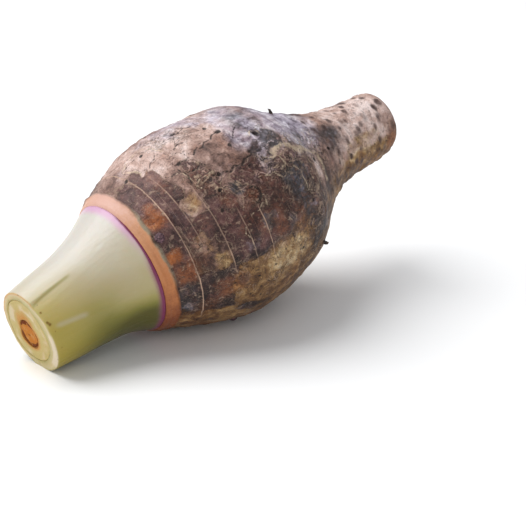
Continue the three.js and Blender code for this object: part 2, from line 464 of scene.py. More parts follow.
class Graph:
    """A material being wired up, with Principled for its shader."""

    def __init__(self, name: str) -> None:
        """Starts a material with a bare Principled shader.

        Args:
            name: name of the material.
        """
        self.material = bpy.data.materials.new(name)
        self.material.use_nodes = True
        self.tree = self.material.node_tree
        self.shader = self.tree.nodes["Principled BSDF"]

    def node(
        self, kind: str, settings: dict[str, object], inputs: dict[int | str, object], output: int = 0
    ) -> Wire:
        """Adds any node.

        Args:
            kind: the node's type.
            settings: its properties, set before its inputs.
            inputs: values or wires, by index or name.
            output: which output to use.

        Returns:
            That output.
        """
        made = self.tree.nodes.new(kind)
        for key, value in settings.items():
            setattr(made, key, value)
        for key, value in inputs.items():
            if isinstance(value, Wire):
                self.tree.links.new(value.socket, made.inputs[key])
            else:
                made.inputs[key].default_value = value
        return Wire(self, made.outputs[output])

    def maths(self, operation: str, first: Wire | float, second: Wire | float) -> Wire:
        """One Math node."""
        return self.node("ShaderNodeMath", {"operation": operation}, {0: first, 1: second})

    def mix(self, factor: Wire | float, first: Wire | Colour, second: Wire | Colour) -> Wire:
        """Mixes two colours, from the first at 0 to the second at 1."""
        settings = {"data_type": "RGBA", "clamp_factor": True}
        return self.node("ShaderNodeMix", settings, {0: factor, 6: first, 7: second}, output=2)

    def ramp(self, factor: Wire, stops: Run) -> Wire:
        """Picks a colour from a run of colours.

        Args:
            factor: where along the run, from 0 to 1.
            stops: the run.

        Returns:
            The colour.
        """
        made = self.node("ShaderNodeValToRGB", {}, {0: factor})
        elements = made.socket.node.color_ramp.elements
        for _ in stops[2:]:
            elements.new(0.5)
        for element, (place, code) in zip(elements, stops):
            element.position = place
            element.color = paint(code)
        return made

    def attribute(self, name: str) -> Wire:
        """A vector attribute of the piece."""
        return self.node("ShaderNodeAttribute", {"attribute_name": name}, {}, output=1)

    def parts(self, name: str) -> tuple[Wire, Wire, Wire]:
        """The three values held in a vector attribute."""
        first = self.node("ShaderNodeSeparateXYZ", {}, {0: self.attribute(name)})
        outputs = first.socket.node.outputs
        return first, Wire(self, outputs[1]), Wire(self, outputs[2])

    def grown(self, stretch: tuple[float, float, float]) -> Wire:
        """The growth coordinates, stretched to features per mm across the piece, along it and through it."""
        inputs = {0: self.attribute("growth"), 1: stretch}
        return self.node("ShaderNodeVectorMath", {"operation": "MULTIPLY"}, inputs)

    def noise(
        self, stretch: tuple[float, float, float], detail: float, rough: float = 0.55, warp: float = 0.0
    ) -> Wire:
        """Noise over the growth coordinates.

        Args:
            stretch: features per mm across the piece, along it and through it.
            detail: octaves.
            rough: strength of the finer octaves.
            warp: distortion.

        Returns:
            A value around 0.
        """
        inputs = {"Vector": self.grown(stretch), "Scale": 1.0}
        inputs |= {"Detail": detail, "Roughness": rough, "Distortion": warp}
        return self.node("ShaderNodeTexNoise", {}, inputs) - 0.5

    def cells(self, density: float) -> Wire:
        """Distance to the nearest of many scattered points, over the growth coordinates."""
        inputs = {"Vector": self.grown((density,) * 3), "Scale": 1.0, "Randomness": 1.0}
        return self.node("ShaderNodeTexVoronoi", {}, inputs)

    def finish(
        self, colour: Wire, roughness: Wire, height: Wire, depth: float, **fixed: float
    ) -> bpy.types.Material:
        """Connects the shader.

        Args:
            colour: base colour.
            roughness: roughness.
            height: relief too fine for the mesh.
            depth: what a height of 1 stands for, in mm.
            fixed: numbers for other sockets, with underscores for spaces in their names.

        Returns:
            The material.
        """
        bump = self.node("ShaderNodeBump", {}, {"Strength": 1.0, "Distance": depth * MM, "Height": height})
        for key, wire in {"Base Color": colour, "Roughness": roughness, "Normal": bump}.items():
            self.tree.links.new(wire.socket, self.shader.inputs[key])
        for key, value in fixed.items():
            self.shader.inputs[key.replace("_", " ")].default_value = value
        return self.material


# ---- skin of the corm --------------------------------------------------------


class Layer(Enum):
    """What the skin is made of, and the sheen painted on it, in the order of the seeds of its patterns."""

    FILM = 0  # papery remains of leaf bases, purple-brown
    SLATE = 1  # blue-grey patches: dark skin with a painted reflection of the sky on it
    RUST = 2  # orange bruises
    PALE = 3  # bleached, bare cork
    BELLY = 4  # tan to olive cork
    SHEEN = 5  # painted lilac-white sheen: a reflection of the sky on the upper side
    CURLS = 6  # loose, curled shreds of film


@dataclass(frozen=True)
class Patch:
    """An oval patch of the skin, which pushes its layer towards an amount."""

    along: float
    degrees: float
    length: float  # along the axis, in mm
    width: float  # round it, in degrees
    amount: float

    def laid_on(self, base: Field, soft: float, spots: Spots) -> Field:
        """The layer with this patch laid on it.

        Args:
            base: the layer's amount at each vertex.
            soft: share of its reach over which the patch fades.
            spots: the vertices.

        Returns:
            The new amounts.
        """
        lengthwise = np.abs(spots.along - self.along) / (self.length / 2)
        across = np.abs(turn_from(spots.degrees, self.degrees)) / (self.width / 2)
        reach = (lengthwise**3 + across**3) ** (1 / 3)
        mask = 1 - smooth(1 - soft, 1 + soft, reach)
        return base + (self.amount - base) * mask


@dataclass(frozen=True)
class Coat:
    """Where a layer of the skin lies: how soft and how ragged its patches end, and the patches."""

    soft: float
    ragged: float
    patches: tuple[Patch, ...]


COATS = {
    Layer.FILM: Coat(0.22, 0.95, (
        # the bands next to the collar
        Patch(71, 50, 12, 130, 0.85),
        Patch(71, -18, 12, 44, 0.30),
        Patch(79.5, 6, 6, 20, 0.85),
        Patch(82, 19, 13, 20, 0.95),
        Patch(83, 29, 14, 18, 0.95),
        Patch(81, 43, 9, 18, 0.95),
        Patch(87, 58, 14, 18, 0.85),
        Patch(84, 102, 34, 30, 0.95),
        # the dark net and the broad dark field on the flank
        Patch(102, 33, 10, 30, 0.72),
        Patch(101, 62, 16, 30, 0.95),
        Patch(109, 74, 26, 24, 0.95),
        Patch(130, 64, 36, 36, 0.90),
        Patch(124, 45, 20, 9, 0.85),
        Patch(151, 66, 22, 40, 0.90),
        Patch(152, 92, 18, 24, 0.90),
        Patch(192, 55, 20, 70, 0.05),
        # bare places within them
        Patch(147, 16, 38, 46, 0.0),
        Patch(89, 43, 10, 14, 0.02),
        Patch(121, 27, 26, 24, 0.0),
        Patch(85, 69, 8, 13, 0.12),
        Patch(90, 83, 7, 8, 0.05),
        Patch(114, 106, 42, 34, 0.02),
        Patch(111, 96, 32, 16, 0.0),
        Patch(134, 98, 26, 24, 0.10),
        Patch(138, 86, 14, 10, 0.15),
        Patch(171, 66, 10, 24, 0.05),
    )),
    Layer.SLATE: Coat(0.45, 1.1, (
        Patch(139, 38, 11, 15, 0.80),
        Patch(151, 35, 12, 16, 0.95),
        Patch(146, 20, 7, 9, 0.70),
        Patch(149, 63, 18, 24, 0.95),
        Patch(112, 50, 8, 8, 0.75),
        Patch(121, 74, 10, 10, 0.95),
        Patch(176, 36, 14, 12, 0.45),
        Patch(188, 48, 22, 70, 0.05),
        Patch(200, 46, 26, 40, 0.46),
        Patch(197, 72, 18, 26, 0.50),
        Patch(70, 104, 14, 26, 0.55),
    )),
    Layer.RUST: Coat(0.75, 0.5, (
        Patch(71.5, 39, 9, 14, 1.0),
        Patch(69.8, 68, 7, 11, 1.0),
        Patch(72.7, 30, 5, 7, 0.7),
        Patch(72, 84, 9, 14, 0.6),
        Patch(246, 100, 12, 44, 0.6),
        Patch(92, 99, 18, 14, 0.50),
        Patch(126, 79, 10, 8, 0.40),
        Patch(118, 57, 9, 10, 0.38),
        Patch(155, 92, 12, 10, 0.25),
    )),
    Layer.PALE: Coat(0.5, 0.7, (
        Patch(116, -2, 62, 44, 0.84),
        Patch(119, 28, 27, 22, 0.20),
        Patch(89, 43, 10, 14, 0.46),
        Patch(93, 4, 12, 30, 0.78),
        Patch(85, 69, 8, 13, 0.60),
        Patch(90, 83, 7, 8, 0.75),
        Patch(84, 102, 34, 30, 0.05),
        Patch(126, 98, 34, 18, 0.90),
        Patch(228, 16, 50, 124, 0.88),
        Patch(218, 74, 56, 44, 0.90),
        Patch(193, 20, 10, 20, 1.0),
        Patch(162, 48, 8, 7, 1.0),
        Patch(170, 66, 9, 22, 0.95),
    )),
    Layer.BELLY: Coat(0.35, 0.9, (
        Patch(120, 104, 60, 34, 1.0),
        Patch(138, 87, 14, 12, 0.45),
        Patch(224, 76, 54, 26, 0.42),
        Patch(224, 108, 54, 40, 0.80),
        Patch(85, 69, 10, 15, 0.60),
        Patch(90, 83, 9, 10, 0.65),
        Patch(89, 43, 10, 14, 0.40),
    )),
    # painted sheen: a lilac-white reflection of the sky on the upper side, towards the stub
    Layer.SHEEN: Coat(0.6, 0.9, (
        Patch(174, 12, 34, 70, 1.0),
        Patch(143, 14, 26, 54, 0.80),
        Patch(118, -14, 40, 26, 0.55),
    )),
    Layer.CURLS: Coat(0.5, 0.5, (
        Patch(104, 36, 12, 30, 1.0),
        Patch(150, 54, 46, 40, 1.0),
        Patch(150, 80, 40, 30, 0.85),
        Patch(122, 56, 22, 22, 0.85),
        Patch(86, 76, 14, 26, 0.60),
        Patch(138, 86, 18, 16, 0.90),
        Patch(111, 100, 40, 26, 0.55),
        Patch(121, 27, 26, 22, 0.0),
    )),
}


@dataclass(frozen=True)
class Ring:
    """A leaf scar: a narrow, broken ridge round the corm, clearest between two angles."""

    along: float
    height: float
    first: float
    last: float
    clear: float  # from 0 to 1, between those angles


RINGS = (
    Ring(76.5, 0.9, -30, 120, 1.0),
    Ring(84, 0.6, 18, 66, 0.65),
    Ring(94.5, 0.8, 38, 86, 0.75),
    Ring(106.5, 0.7, 62, 90, 0.45),
    Ring(117, 0.7, 67, 90, 1.0),
    Ring(131, 0.8, 200, 250, 0.45),
    Ring(143, 0.7, 160, 190, 0.4),
    Ring(155, 0.7, 170, 230, 0.4),
    Ring(167, 0.7, 150, 180, 0.35),
    Ring(178, 0.8, 190, 240, 0.3),
    Ring(189, 0.7, 160, 190, 0.3),
    Ring(203, 0.5, 180, 220, 0.2),
)


@dataclass(frozen=True)
class Crack:
    """A split or a torn edge in the skin along a few (along, degrees) points."""

    points: tuple[tuple[float, float], ...]
    width: float = 0.7
    depth: float = 0.8

    def distance(self, spots: Spots) -> Field:
        """How far the vertices are from the line.

        Args:
            spots: the vertices.

        Returns:
            The distance of each, in mm.
        """
        near = np.full(len(spots.along), np.inf)
        for (a0, d0), (a1, d1) in zip(self.points, self.points[1:]):
            scale = FORM.degree_at((a0 + a1) / 2)
            x, y = spots.along - a0, turn_from(spots.degrees, d0) * scale
            dx, dy = a1 - a0, (d1 - d0) * scale
            share = np.clip((x * dx + y * dy) / (dx * dx + dy * dy), 0, 1)
            near = np.minimum(near, np.hypot(x - share * dx, y - share * dy))
        return near


CRACKS = (
    Crack(((97, 18.5), (100, 18), (102.5, 20), (105, 19.5))),
    Crack(((108, 20.5), (111, 18), (115, 19.5), (119, 16.5), (123, 17.5), (126, 14.5), (129, 15)), 0.65),
    Crack(
        ((107, 37), (110, 39), (113, 38.5), (116, 40.5), (120, 38.5), (124, 40.5), (128, 38), (133, 38.5)),
        0.8,
    ),
    Crack(((112, -3), (116, -1), (121, -3), (126, -2)), 0.7, 0.5),
    Crack(((104, 9), (108, 7.5), (111, 9.5)), 0.6, 0.5),
    Crack(((99, 27), (103, 29), (106, 27.5), (109, 30)), 0.6, 0.5),
    Crack(((89, 20), (92, 23), (94, 22)), 0.5, 0.4),
    Crack(((133, 24), (137, 20), (141, 17.5)), 0.5, 0.5),
    Crack(((96, 21), (97.5, 28), (96, 34)), 0.5, 0.4),
    Crack(((120, 41), (124, 43.5), (130, 42)), 0.6, 0.5),
    Crack(((88, -30), (97, -33), (108, -31)), 0.7),
    Crack(((118, -58), (128, -55), (140, -57)), 0.8),
    Crack(((98, 150), (112, 153), (124, 149)), 0.8),
    Crack(((81, -9.5), (84.5, -10.5), (88, -9), (92, -10), (94.5, -8), (96, -5)), 0.4, 0.35),
    Crack(((101, 11), (103.5, 13), (105, 17)), 0.4, 0.3),
    Crack(((88, 7), (91, 4), (93, 5), (96, 2)), 0.4, 0.3),
    Crack(((105, -12), (108, -9), (111, -10.5)), 0.4, 0.3),
    Crack(((130, -100), (142, -104), (152, -101)), 0.7),
)


# torn edges of film, which stand up as pale lines
TORN = (
    Crack(
        ((143, 45), (148, 42), (153, 40), (158, 45), (163, 49), (170, 50), (175, 56), (176, 66), (174, 78)),
        1.35,
    ),
    Crack(((138, 44), (141, 47), (145, 47), (147, 51), (143, 52)), 0.45),
    Crack(
        ((109, 36), (106, 37.5), (104, 36.5), (101, 34), (99, 35.5), (98, 39), (99.5, 42), (98.5, 46)),
        0.4,
    ),
    Crack(((112, 66.5), (114, 65), (117, 65), (119.5, 63), (122, 63.5), (123, 61.5)), 0.35),
    Crack(((142, 27.5), (143.5, 25.6), (146, 24.8), (148, 25.6), (149, 27.5)), 0.5),
    Crack(((126, 50), (131, 53), (137, 52), (140, 56)), 0.35),
    Crack(((150, 56), (153, 62), (151, 69), (155, 75)), 0.35),
    Crack(((92, 22), (96, 27), (97, 33)), 0.3),
    Crack(((106, 71), (104, 76), (107, 82)), 0.25),
    Crack(((81, -12), (84.5, -12.5), (88, -11), (92, -12), (95, -9), (97, -5), (98, 0), (99, 4)), 0.4),
    Crack(((80, -9), (82, -2), (83, 6)), 0.4),
)


@dataclass(frozen=True)
class Pit:
    """A round pit or, with a rim, the scar of a root."""

    along: float
    degrees: float
    radius: float
    depth: float
    rim: float = 0.0


PITS = (
    Pit(128, 7, 1.3, 0.9),
    Pit(130.5, 15, 2.2, 0.8, 0.3),
    Pit(127.5, 27, 1.5, 0.3, 0.4),
    Pit(104.5, 46, 1.1, 0.9),
    Pit(100, 56, 0.9, 0.7),
    Pit(133.5, 36, 1.3, 0.9),
    Pit(145.7, 28, 2.4, 1.2, 0.5),
    Pit(99, 19, 1.0, 0.7),
    Pit(118, 57, 4.3, 0.8, 0.7),
    Pit(110, 38, 1.2, 0.9),
    Pit(76, 0, 1.0, 0.5),
    Pit(92, -6, 1.2, 0.5, 0.3),
    Pit(114, -3, 1.8, 0.7),
    Pit(171, 60, 1.4, 0.5, 0.3),
    Pit(152, 79, 1.2, 0.6),
    Pit(138, 102, 1.1, 0.6),
    Pit(191, 60, 1.2, 0.6, 0.3),
)


@dataclass(frozen=True)
class Warts:
    """Root scars in staggered rings round the stub, placed by the rule that places them on the solid."""

    first: float = 186
    last: float = 250
    spacing: float = 8.6
    apart: float = 16
    radius: float = 2.4
    height: float = 0.6
    seed: int = 7

    FACTOR = 16807
    MODULUS = 2147483647

    def places(self) -> list[tuple[float, float, float]]:
        """The scars, ring by ring.

        Returns:
            (along, degrees, size) of each.
        """
        state = self.seed
        found = []

        def random() -> float:
            """The next number of a sequence that is the same each run."""
            nonlocal state
            state = state * self.FACTOR % self.MODULUS
            return state / self.MODULUS

        row = 0
        while self.first + row * self.spacing < self.last:
            along = self.first + row * self.spacing
            count = round(2 * math.pi * FORM.radius_at(along) / self.apart)
            for i in range(count):
                degrees = (i + (row % 2) / 2 + 0.4 * random()) / count * 360
                size = self.radius * (0.7 + 0.5 * random())
                found.append((along + 2.5 * (random() - 0.5), degrees, size))
            row += 1
        return found


WARTS = (Warts(), Warts(first=190.3, apart=8.2, radius=2.1, height=0.15, seed=23))


@dataclass(frozen=True)
class SkinMaterial:
    """The skin of the corm, from the amounts that its vertices hold.

    Each run goes from creases to crests, so the skin's mottling is painted darker in its creases, as shade;
    the collar's goes from its upper side to its lower, lighter above and darker below, partly as painted
    shade.
    """

    cork: Run = ((0.0, "46302a"), (0.25, "7b5e54"), (0.5, "a58579"), (0.75, "ceb0a5"), (1.0, "eedad4"))
    belly: Run = ((0.0, "382214"), (0.3, "694829"), (0.55, "937046"), (0.78, "b6966a"), (1.0, "d6be98"))
    film: Run = ((0.0, "20100f"), (0.3, "462c2a"), (0.55, "603f3c"), (0.8, "80605a"), (1.0, "ae8e80"))
    slate: Run = ((0.0, "121215"), (0.35, "282a2e"), (0.6, "404147"), (0.85, "6e6c78"), (1.0, "a39eab"))
    sheen: Run = ((0.0, "38313a"), (0.25, "746a77"), (0.5, "a399aa"), (0.75, "c8c0cf"), (1.0, "ebe6ef"))
    rust: Run = ((0.0, "582810"), (0.4, "8e4c20"), (0.7, "b4662c"), (1.0, "d08c50"))
    collar: Run = ((0.0, "cfa494"), (0.35, "c68e68"), (0.75, "b87444"), (1.0, "84482a"))
    thread: str = "c6a48c"
    shred: str = "b89c84"
    torn: str = "d6bfa2"
    shadow: str = "2a1814"
    hollow: str = "1e120e"
    scar: str = "4a3430"
    lip: str = "9c927c"
    thickness: float = 0.8  # how far the skin stands over the collar in the fine relief

    def build(self) -> bpy.types.Material:
        """Wires the material up.

        Returns:
            The material.
        """
        graph = Graph("taro_skin")
        film, slate, rust = graph.parts("remains")
        pale, belly, sheen = graph.parts("cork")
        ring, ring_shown, hollow = graph.parts("marks")
        collar, lip, scar = graph.parts("zones")
        curls, down, torn = graph.parts("loose")
        cloud = graph.noise((0.07, 0.06, 0.07), 3, 0.5)
        mottle = graph.noise((0.17, 0.14, 0.17), 7, 0.62, 0.7)
        grain = graph.noise((0.9, 0.7, 0.9), 4, 0.6, 0.3)
        wrinkle = graph.noise((0.08, 0.42, 0.08), 5, 0.6, 0.8)
        curl = graph.noise((0.12, 0.12, 0.12), 2, 0.5, 1.6)
        fleck = graph.noise((0.5, 0.36, 0.5), 2, 0.5, 0.5)
        flake = graph.noise((0.24, 0.17, 0.24), 5, 0.62, 1.3)
        specks = graph.cells(0.2)

        def edged(amount: Wire, soft: float, ragged: float) -> Wire:
            """A layer's amount with its ragged edge."""
            return (amount + grain * ragged).smooth(0.5 - soft, 0.5 + soft)

        # cork, and over it film, painted sheen, blue-grey patches with a painted sky reflection, and bruises
        fine = grain * 0.45 + wrinkle * 0.35
        tone = mottle * 1.7 + fine + 0.5
        colour = graph.ramp(tone - mottle * pale * 0.7 + cloud * 0.6 + (pale - 0.5) * 0.8, self.cork)
        tan = edged(belly, 0.3, 0.5)
        under = graph.ramp(tone + cloud * 0.4 + flake * 0.8 + (pale - 0.3) * 0.4, self.belly)
        colour = colour.coated(tan, under)
        shreds = edged(curls, 0.35, 0.4)
        bared = flake.smooth(0.035, 0.075) * shreds
        filmed = edged(film + fleck * 0.25 + mottle * 0.95, 0.1, 0.75) * (1.0 - bared * 0.85)
        # the film is painted darker where the belly layer lies, low on the flank: painted shade
        papery = mottle * 1.5 + fine + cloud * 0.7 + 0.44 - belly * 0.35 + (pale - 0.4) * 0.3
        colour = colour.coated(filmed, graph.ramp(papery, self.film))
        # painted sheen: a lilac-white reflection of the sky, laid over the skin
        painted_sheen = graph.ramp(tone + curl * 1.4 + cloud * 0.6 + 0.2, self.sheen)
        colour = colour.coated(edged(sheen, 0.4, 0.5) * 0.9, painted_sheen)
        # blue-grey patches: the skin's dark tint with a painted reflection of the sky on it
        slate_tint_and_sheen = graph.ramp(tone + curl * 0.9, self.slate)
        colour = colour.coated(edged(slate, 0.25, 0.5) * (0.9 - bared * 0.6), slate_tint_and_sheen)
        colour = colour.coated(edged(rust, 0.45, 0.5) * 0.8, graph.ramp(tone, self.rust))

        # shadows where the film curls away, and the pale edges of its shreds
        colour = colour.coated((flake - 0.025).bell(0.022) * shreds * 0.75, self.shadow)
        shreds = shreds * cloud.smooth(-0.12, 0.04) * (1.0 - slate * 0.4)
        stroke = curl + grain * 0.07 + flake * 0.16
        colour = colour.coated((stroke - 0.065).bell(0.04) * shreds * 0.85, self.shadow)
        short = fleck.smooth(-0.10, 0.03)
        broad = stroke.bell(0.045) * (0.25 + short * 0.75)
        thin = (stroke - 0.12).bell(0.018) * (1.0 - short) * 0.7
        squiggle = (broad + thin) * (0.05 + shreds * 0.72)
        peeling = (film + grain * 0.35 - 0.5).bell(0.06) * (1.0 - tan) * 0.4
        veins = (flake + grain * 0.05 + 0.04).bell(0.013) * filmed * cloud.smooth(-0.2, 0.1) * 0.4
        light = fleck.smooth(0.08, 0.22) * filmed * 0.4
        colour = colour.coated(peeling + squiggle + veins + light, self.shred)

        # torn edges, root scars and leaf scars
        colour = colour.coated((torn - 1.9).bell(0.6) * 0.35, self.shadow)
        frayed = (torn + grain * 1.6 + fleck * 2.5).smooth(1.5, 0.3)
        colour = colour.coated(frayed * mottle.smooth(-0.25, 0.05) * 0.75, self.torn)
        smudge = (scar + grain * 0.5 + mottle * 0.7).smooth(0.12, 1.0)
        colour = colour.coated(smudge * scar.smooth(0.0, 0.2) * (0.9 + mottle * 0.6), self.scar)
        colour = colour.coated((ring + grain * 0.5).bell(0.42) * ring_shown * 0.9, self.thread)

        # cracks, painted shade in the creases, and specks, then the fresh skin of the collar
        old = 1.0 - collar
        hairline = wrinkle.bell(0.008) * pale * 0.45
        # painted shade: dark lines in the fine creases of the bare skin
        crease_shade = (flake + grain * 0.06 - 0.04).bell(0.014) * mottle.smooth(0.25, -0.05) * (1.0 - filmed) * 0.8
        dots = specks.smooth(0.17, 0.09) * (0.3 + belly * 0.5) * old
        split = (hollow + grain * 0.9).smooth(0.85, 0.2) * 0.9
        dark = fleck.smooth(-0.12, -0.2) * (0.12 + shreds * 0.5) * old
        colour = colour.coated(split + hairline + crease_shade * old + dots + dark, self.hollow)
        # the collar, painted light peach above and dark orange-brown below: partly its own colour, partly
        # painted shade
        colour = colour.coated(collar, graph.ramp(down + mottle * 0.3 + grain * 0.25, self.collar))
        colour = colour.coated(lip * mottle.smooth(-0.15, 0.1) * 0.9, self.lip)
        rough = 0.6 - filmed * 0.1 - collar * 0.1 + grain * 0.4
        height = grain * 0.4 + mottle * 0.8 + filmed * 0.3 + wrinkle * 0.4 + squiggle * 0.6 - dots * 0.5
        height = (height + self.thickness) * (1.0 - collar * 0.8)
        fixed = {"Specular_IOR_Level": 0.3, "Coat_Weight": 0.06, "Coat_Roughness": 0.35}
        return graph.finish(colour, rough, height, 1.1, **fixed)


@dataclass
class Corm:
    """The corm: a turned body with its rings, scars, cracks and papery remains raised or carved on it."""

    sides: int = 320
    step: float = 0.78
    gap: float = 1.3  # how far plain rows keep from a ring, which has rows of its own
    collar_end: float = 66.0
    stub_end: float = 252.0
    stub_rounding: float = 3.0
    stub_bulge: float = 1.2
    lip: float = 0.7  # how far the collar stands out
    skin: float = 0.6  # how far the skin's edge stands out
    neck: tuple[float, float] = (186.0, 206.0)  # where the body gives way to the stub
    lump_height: float = 1.3
    wrinkle_height: float = 0.6
    fold_height: float = 0.35
    film_height: float = 0.3
    torn_height: float = 0.4
    waviness: float = 4.2  # how far the collar's end strays along the axis
    notches: tuple[tuple[float, float, float], ...] = ((52, 5, 1.3), (34, 6, 0.7))  # degrees, reach, depth
    slit_degrees: tuple[float, float] = (26.0, 40.0)  # between which skin and collar have parted
    slit_depth: float = 0.7
    wander: tuple[float, float] = (5.0, 9.0)  # how far patches' outlines stray, in mm along and degrees round

    def rows(self) -> list[float]:
        """Places the skin's rows, with some on and beside each ring.

        Returns:
            Their distances along the axis, in order.
        """
        last = self.stub_end - self.stub_rounding
        plain = np.arange(self.collar_end + 0.7, last, self.step)
        apart = [min(abs(ring.along - at) for ring in RINGS) for at in plain]
        kept = [float(at) for at, far in zip(plain, apart) if far > self.gap]
        beside = [ring.along + shift for ring in RINGS for shift in (-1.0, -0.5, 0.0, 0.5, 1.0)]
        return sorted(kept + beside)

    def profile(self) -> Outline:
        """The turned body's outline, from the growing point to the stub.

        Returns:
            (radius, along) points.
        """
        crown, brow, stub = map(FORM.radius_at, (CROWN, self.collar_end, self.stub_end))
        dome = [(out, float(FORM.dome_at(out))) for out in np.linspace(0, crown - 1, 10)]
        collar = [
            (crown + 0.2, CROWN - 0.15),
            (crown + self.lip * 0.8, CROWN + 0.2),
            (crown + self.lip + 0.5, CROWN + 0.8),
            (crown + self.lip + 0.9, CROWN + 1.5),
        ]
        hollowed = [CROWN + 2.3, CROWN + 3.1, CROWN + 3.9, CROWN + 4.7]
        collar += [(FORM.radius_at(at) + self.lip * 0.55, at) for at in hollowed]
        edge = [(brow + self.lip * 0.5, self.collar_end - 0.6), (brow + self.skin + 0.5, self.collar_end)]
        body = [(FORM.radius_at(at), at) for at in self.rows()]
        rounding = self.stub_rounding
        corner = [
            (stub - rounding * (1 - math.cos(turn)), self.stub_end - rounding * (1 - math.sin(turn)))
            for turn in np.linspace(0.15, math.pi / 2, 6)
        ]
        broken = [
            (out, self.stub_end + self.stub_bulge * (1 - (out / stub) ** 2))
            for out in np.linspace(stub - 4, 0, 16)
        ]
        return [*dome, *collar, *edge, *body, *corner, *broken]

    def build(self) -> Piece:
        """Models the corm and stores what its material reads.

        Returns:
            The corm.
        """
        piece = turned("taro_corm", self.profile(), self.sides)
        spots = Spots.on(piece)
        points, along, degrees = spots.points, spots.along, spots.degrees
        wide, tall, even = Noise(Seed.WIDE), Noise(Seed.TALL), Noise(Seed.EVEN)
        wavy = along + self.wander[0] * wide.swell(points, 9)
        askew = degrees + self.wander[1] * tall.swell(points, 8)
        warped = replace(spots, along=wavy, degrees=askew)
        on_skin = smooth(self.collar_end - 0.6, self.collar_end + 0.2, along)
        on_end = smooth(self.stub_end - 2.5, self.stub_end - 0.2, along)
        on_end *= 1 - smooth(0.9, 1.0, spots.out / FORM.radius(self.stub_end))
        amounts = {layer: self.amount(layer, spots, warped) for layer in Layer}
        ring, shown, ridge = self.rings(spots)
        hollow, carved = self.hollows(spots)
        scar, raised = self.root_scars(spots)
        torn = np.min([edge.distance(warped) / edge.width for edge in TORN], axis=0)

        # how far the skin stands up, and how far the ends of collar and stub stray along the axis
        film = self.film_height * smooth(0.42, 0.58, amounts[Layer.FILM])
        rough = self.lump_height * even.swell(points, (6, 8, 6), 4)
        rough += self.wrinkle_height * wide.swell(points, (10, 2.2, 10))
        folds = smooth(188, 204, along) * self.fold_height * tall.swell(points, (14, 3, 14))
        relief = ridge + film + rough + folds + raised - carved + self.torn_height * hump(torn, 1)
        crumbs = 1.2 * wide.swell(points, 4, 4) * on_end
        on_collar = (1 - on_skin) * smooth(CROWN + 0.2, CROWN + 1.0, along)
        soft = 0.25 * tall.swell(points, (12, 3, 12)) * on_collar
        notch = sum(depth * hump(turn_from(degrees, at), reach) for at, reach, depth in self.notches)
        waves = self.waviness * even.swell(points * (1, 0, 1), (9, 1, 9)) - notch
        waves *= hump(along - self.collar_end, 2.2)
        slit = window(along, self.collar_end - 1.1, self.collar_end - 0.3, 0.3)
        slit *= window(degrees, *self.slit_degrees, 2)
        moved = relief * on_skin * (1 - on_end) + soft - self.slit_depth * slit
        out = spots.out + np.where(spots.out > 1, moved, 0)
        write_points(piece, FORM.place(out, along + crumbs + waves, spots.angle))

        # what the material reads
        dark_end = on_end * (0.35 + 0.5 * smooth(0.45, 0.6, wide.layered(points, 5)))
        lip = window(along, self.collar_end - 0.6, self.collar_end + 0.6, 0.3)
        lip *= smooth(10, 35, degrees) * (1 - smooth(70, 95, degrees))
        # how far round from the upper side, which darkens the collar: partly its own colour, partly painted
        # shade
        down = 0.75 * smooth(0, 100, np.abs(turn_from(degrees, -8))) + 0.25 * smooth(80, 130, np.abs(degrees))
        record(piece, "growth", *points.T)
        record(piece, "remains", amounts[Layer.FILM], amounts[Layer.SLATE], amounts[Layer.RUST])
        record(piece, "cork", amounts[Layer.PALE], amounts[Layer.BELLY], amounts[Layer.SHEEN])
        record(piece, "marks", ring, shown * on_skin, np.minimum(hollow, 2 - 2 * slit))
        record(piece, "zones", 1 - on_skin, lip, np.maximum(scar, dark_end))
        record(piece, "loose", amounts[Layer.CURLS], down, torn)
        return piece

    def amount(self, layer: Layer, spots: Spots, warped: Spots) -> Field:
        """How much of a layer there is, with its patches and its ragged edge.

        Args:
            layer: the layer.
            spots: the straight body's vertices.
            warped: the same, moved so that patches have uneven outlines.

        Returns:
            The amount at each vertex, with the layer's edge at 0.5.
        """
        coat = COATS[layer]
        total = self.background(layer, spots)
        for patch in coat.patches:
            total = patch.laid_on(total, coat.soft, warped)
        return total + coat.ragged * Noise(Seed.EDGE + layer.value).swell(spots.points, (9, 7, 9), 4)

    def background(self, layer: Layer, spots: Spots) -> Field:
        """A layer's amount before its patches, by where on the corm it is.

        Args:
            layer: the layer.
            spots: the straight body's vertices.

        Returns:
            The amounts.
        """
        along, turn = spots.along, np.abs(turn_from(spots.degrees, 0))
        patchy = smooth(0.38, 0.62, Noise(Seed.GROUND + layer.value).layered(spots.points, (26, 18, 26)))
        body = 1 - smooth(*self.neck, along)
        if layer is Layer.FILM:
            side = window(turn, 42, 118, 14)
            return (0.15 + 0.7 * side * patchy + 0.45 * (1 - smooth(74, 90, along)) * side) * body
        if layer is Layer.SLATE:
            return 0.5 * patchy * smooth(128, 150, along) * body * (1 - smooth(95, 140, turn))
        if layer is Layer.RUST:
            return 0.2 * patchy
        if layer is Layer.PALE:
            return (0.25 + 0.45 * patchy) * (1 - smooth(38, 70, turn))
        if layer is Layer.CURLS:
            return 0.55 * patchy * smooth(84, 100, along) * body
        if layer is Layer.BELLY:
            return smooth(70, 105, turn) * (0.55 + 0.45 * patchy)
        # the painted sheen lies on the upper side, towards the stub
        return 0.45 * (1 - smooth(25, 60, turn)) * smooth(130, 165, along) * patchy * body

